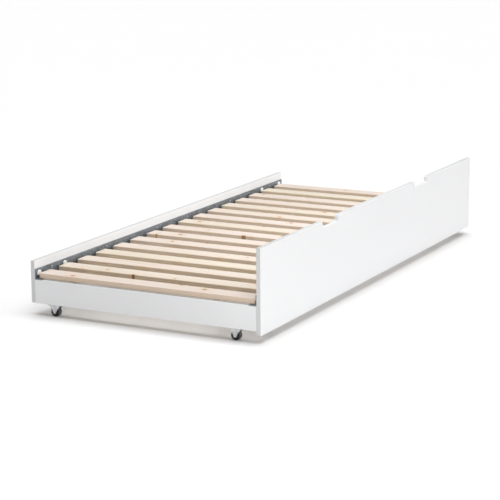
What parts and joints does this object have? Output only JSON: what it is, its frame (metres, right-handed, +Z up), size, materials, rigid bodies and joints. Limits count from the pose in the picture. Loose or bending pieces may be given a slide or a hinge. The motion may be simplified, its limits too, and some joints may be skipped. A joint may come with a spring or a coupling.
{
  "type": "trundle bed",
  "caption": "Low pull-out bed: white board frame on fixed castors, tall front panel with hand grips, and a slatted pine base lying on steel angle rails.",
  "frame": {"origin": "on the floor, under the middle of the bed's length and width", "axes": "+X along the length, +Y from the tall front panel to the low rear panel, +Z up"},
  "size_m": [2, 0.932, 0.336],
  "materials": {
    "white_paint": "fibreboard with smooth white satin paint",
    "pine": "sanded, untreated softwood with knots",
    "rail_steel": "galvanised steel angle, dull bluish grey",
    "zinc_plate": "bright zinc plated pressed steel",
    "white_nylon": "white moulded nylon, satin",
    "webbing": "off-white woven polyester webbing",
    "dark_nylon": "black moulded nylon",
    "black_tyre": "smooth black rubber, dull"
  },
  "bodies": {
    "bed": {"front_panel": "white_paint", "rear_panel": "white_paint", "end_panel_near": "white_paint", "end_panel_far": "white_paint", "castor_batten_near": "pine", "castor_batten_far": "pine", "front_rail": "rail_steel", "rear_rail": "rail_steel", "slat_01": "pine", "slat_02": "pine", "slat_03": "pine", "slat_04": "pine", "slat_05": "pine", "slat_06": "pine", "slat_07": "pine", "slat_08": "pine", "slat_09": "pine", "slat_10": "pine", "slat_11": "pine", "slat_12": "pine", "slat_13": "pine", "slat_14": "pine", "slat_15": "pine", "slat_16": "pine", "strap_front": "webbing", "strap_rear": "webbing", "slat_stop_01_front": "white_nylon", "slat_stop_01_rear": "white_nylon", "slat_stop_02_front": "white_nylon", "slat_stop_02_rear": "white_nylon", "slat_stop_15_front": "white_nylon", "slat_stop_15_rear": "white_nylon", "slat_stop_16_front": "white_nylon", "slat_stop_16_rear": "white_nylon", "cam_near_front": "zinc_plate", "cam_near_rear": "zinc_plate", "cam_far_front": "zinc_plate", "cam_far_rear": "zinc_plate", "cam_bolt_near_front": "zinc_plate", "cam_bolt_near_rear": "zinc_plate", "cam_bolt_far_front": "zinc_plate", "cam_bolt_far_rear": "zinc_plate", "castor_fork_near_front": "zinc_plate", "castor_fork_near_rear": "zinc_plate", "castor_fork_far_front": "zinc_plate", "castor_fork_far_rear": "zinc_plate", "castor_axle_near_front": "zinc_plate", "castor_axle_near_rear": "zinc_plate", "castor_axle_far_front": "zinc_plate", "castor_axle_far_rear": "zinc_plate"},
    "wheel_near_front": {"wheel_hub_near_front": "dark_nylon", "wheel_tyre_near_front": "black_tyre"},
    "wheel_near_rear": {"wheel_hub_near_rear": "dark_nylon", "wheel_tyre_near_rear": "black_tyre"},
    "wheel_far_front": {"wheel_hub_far_front": "dark_nylon", "wheel_tyre_far_front": "black_tyre"},
    "wheel_far_rear": {"wheel_hub_far_rear": "dark_nylon", "wheel_tyre_far_rear": "black_tyre"}
  },
  "joints": [
    {"name": "wheel_near_front_spin", "type": "hinge", "parent": "bed", "child": "wheel_near_front", "pos_m": [-0.976, -0.361, 0.0175], "axis": [1, 0, 0], "continuous": true},
    {"name": "wheel_near_rear_spin", "type": "hinge", "parent": "bed", "child": "wheel_near_rear", "pos_m": [-0.976, 0.376, 0.0175], "axis": [1, 0, 0], "continuous": true},
    {"name": "wheel_far_front_spin", "type": "hinge", "parent": "bed", "child": "wheel_far_front", "pos_m": [0.976, -0.361, 0.0175], "axis": [1, 0, 0], "continuous": true},
    {"name": "wheel_far_rear_spin", "type": "hinge", "parent": "bed", "child": "wheel_far_rear", "pos_m": [0.976, 0.376, 0.0175], "axis": [1, 0, 0], "continuous": true}
  ]
}
